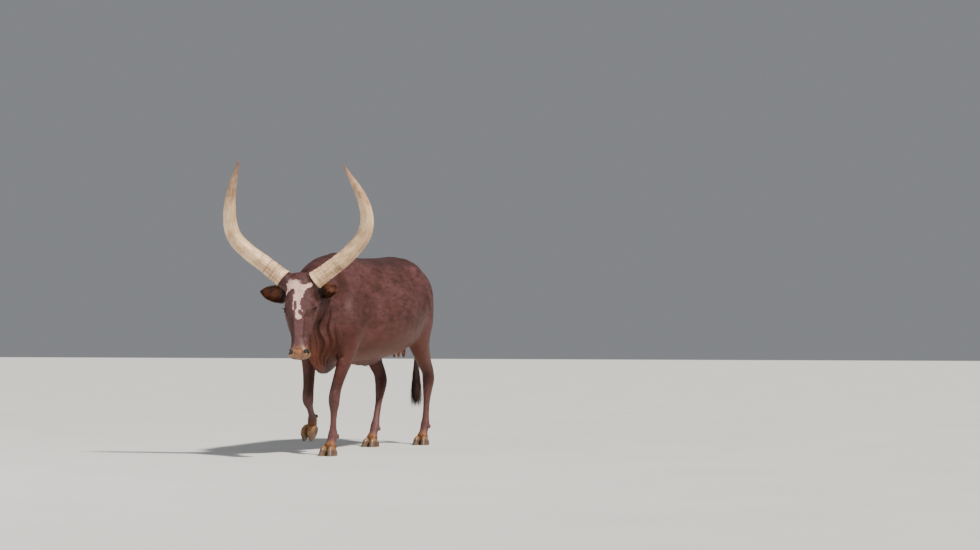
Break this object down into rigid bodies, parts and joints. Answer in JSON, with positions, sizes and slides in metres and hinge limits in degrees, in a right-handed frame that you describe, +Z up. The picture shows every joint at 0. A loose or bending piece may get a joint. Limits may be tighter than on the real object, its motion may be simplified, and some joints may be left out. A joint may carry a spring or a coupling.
{
  "type": "ankole-watusi cow",
  "caption": "Life-size walking Ankole-Watusi cow with long lyre-shaped horns, short dark red-brown coat, white face blaze and one forefoot lifted.",
  "frame": {"origin": "middle of the bounding box, on the floor that the hooves stand on", "axes": "+Z up, the animal faces -Y, its left side is +X"},
  "size_m": [0.8786, 2.2002, 1.7956],
  "materials": {
    "coat": "short mahogany brown hair",
    "bare_skin": "bare soft skin",
    "horn": "cream keratin, ringed near the root",
    "hoof": "brown keratin",
    "eye": "wet dark brown eye",
    "tail_hair": "long dark hair"
  },
  "bodies": {
    "root": {"claw_fore_left_left": "hoof", "claw_fore_left_right": "hoof", "claw_fore_right_left": "hoof", "claw_fore_right_right": "hoof", "claw_hind_left_left": "hoof", "claw_hind_left_right": "hoof", "claw_hind_right_left": "hoof", "claw_hind_right_right": "hoof", "ear_left": "coat", "ear_right": "coat", "eye_left": "eye", "eye_right": "eye", "foreleg_lower_left": "coat", "foreleg_lower_right": "coat", "foreleg_upper_left": "coat", "foreleg_upper_right": "coat", "head": "coat", "hindleg_lower_left": "coat", "hindleg_lower_right": "coat", "hindleg_upper_left": "coat", "hindleg_upper_right": "coat", "horn_left": "horn", "horn_right": "horn", "neck": "coat", "tail": "coat", "tail_switch": "tail_hair", "torso": "coat", "udder": "bare_skin"}
  },
  "joints": []
}
